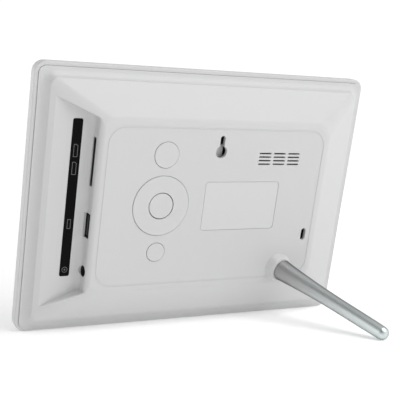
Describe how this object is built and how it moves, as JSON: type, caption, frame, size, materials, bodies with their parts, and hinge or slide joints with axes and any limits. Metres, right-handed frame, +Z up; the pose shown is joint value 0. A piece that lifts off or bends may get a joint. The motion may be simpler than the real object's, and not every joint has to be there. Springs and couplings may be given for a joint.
{
  "type": "digital photo frame",
  "caption": "White digital photo frame with a raised control panel, side port bay and keyhole on its back, standing on its lower edge and a tapered metal screw-in leg.",
  "frame": {"origin": "middle of the footprint, on the surface the frame stands on", "axes": "+Z up, -Y the side the screen faces, +Y the back with the controls and the leg, +X the side with the ports"},
  "size_m": [0.2044, 0.1054, 0.1425],
  "materials": {
    "housing_white": "satin white ABS",
    "button_white": "satin white ABS, a touch smoother than the housing",
    "label_black": "gloss black printed strip",
    "label_white": "blank white rating label",
    "window_clear": "clear acrylic",
    "lcd_glass": "dark polarised glass, switched off",
    "sheet_steel": "bright tin-plated sheet",
    "machine_steel": "zinc-plated steel",
    "leg_metal": "satin bead-blasted, clear anodised",
    "brass": "turned, knurled",
    "gold_contact": "gold-flashed contact",
    "acrylic_guide": "clear light guide",
    "film_white": "white optical film",
    "tray_white": "moulded white polycarbonate",
    "foam_black": "closed-cell foam",
    "board_green": "solder mask over glass fibre",
    "chip_black": "moulded epoxy",
    "part_black": "glass-filled nylon",
    "ribbon_film": "polyimide flat cable",
    "can_alu": "bright capacitor can",
    "cell_steel": "nickel-plated can",
    "cloth_black": "woven acoustic cloth",
    "cone_paper": "pressed black paper",
    "magnet_dark": "sintered ferrite in a steel cup"
  },
  "bodies": {
    "housing": {"front_bezel": "housing_white", "screen_window": "window_clear", "lcd_gasket": "foam_black", "lcd_can": "sheet_steel", "lcd_tray": "tray_white", "lcd_cell": "lcd_glass", "optical_films": "film_white", "light_guide": "acrylic_guide", "led_strip": "board_green", "reflector_sheet": "film_white", "chassis_plate": "sheet_steel", "chassis_screws": "machine_steel", "board_standoffs": "machine_steel", "board_screws": "machine_steel", "main_board": "board_green", "processor": "chip_black", "memory_chips": "chip_black", "power_coil": "chip_black", "capacitors": "can_alu", "cell_holder": "part_black", "coin_cell": "cell_steel", "screen_ribbon": "ribbon_film", "ribbon_connector": "part_black", "sd_socket_base": "part_black", "sd_socket_shell": "sheet_steel", "sd_contacts": "gold_contact", "usb_shell": "sheet_steel", "usb_tongue": "part_black", "usb_contacts": "gold_contact", "dc_jack_body": "part_black", "dc_jack_pin": "gold_contact", "push_switches": "part_black", "pad_switch_stems": "part_black", "leg_insert": "brass", "rear_cover": "housing_white", "lock_plate": "machine_steel", "port_label": "label_black", "rating_label": "label_white", "grille_cloth": "cloth_black", "speaker_basket": "sheet_steel", "speaker_cone": "cone_paper", "speaker_magnet": "magnet_dark"},
    "stand_leg": {"stand_leg": "leg_metal"},
    "leg_stud": {"leg_stud": "machine_steel"},
    "menu_key": {"menu_button": "button_white", "menu_switch_stem": "part_black"},
    "ok_key": {"ok_button": "button_white", "ok_switch_stem": "part_black"},
    "power_key": {"power_button": "button_white", "power_switch_stem": "part_black"},
    "dpad_gimbal": {"dpad_gimbal": "part_black"},
    "dpad": {"dpad_ring": "button_white"}
  },
  "joints": [
    {"name": "leg_travel", "type": "slide", "parent": "housing", "child": "leg_stud", "axis": [-0.2083, 0.9241, -0.3205], "range_m": [0, 0.008]},
    {"name": "leg_unscrew", "type": "hinge", "parent": "leg_stud", "child": "stand_leg", "pos_m": [-0.0521, -0.02278, 0.0286], "axis": [-0.2083, 0.9241, -0.3205], "range_deg": [0, 2880]},
    {"name": "menu_press", "type": "slide", "parent": "housing", "child": "menu_key", "axis": [0, -0.9762, 0.2169], "range_m": [0, 0.0003], "stiffness_N_per_m": 2000, "springref_m": -0.0004},
    {"name": "ok_press", "type": "slide", "parent": "housing", "child": "ok_key", "axis": [0, -0.9762, 0.2169], "range_m": [0, 0.0003], "stiffness_N_per_m": 2000, "springref_m": -0.0004},
    {"name": "power_press", "type": "slide", "parent": "housing", "child": "power_key", "axis": [0, -0.9762, 0.2169], "range_m": [0, 0.0003], "stiffness_N_per_m": 2000, "springref_m": -0.0004},
    {"name": "pad_up_down", "type": "hinge", "parent": "housing", "child": "dpad_gimbal", "pos_m": [0.03135, -0.02082, 0.06925], "axis": [1, 0, 0], "range_deg": [-1, 1], "stiffness_Nm_per_rad": 0.5},
    {"name": "pad_left_right", "type": "hinge", "parent": "dpad_gimbal", "child": "dpad", "pos_m": [0.03135, -0.02082, 0.06925], "axis": [0, 0.2169, 0.9762], "range_deg": [-1, 1], "stiffness_Nm_per_rad": 0.5}
  ],
  "couplings": [
    {"joint": "leg_unscrew", "follows": "leg_travel", "rad_per_m": 6283.2}
  ]
}
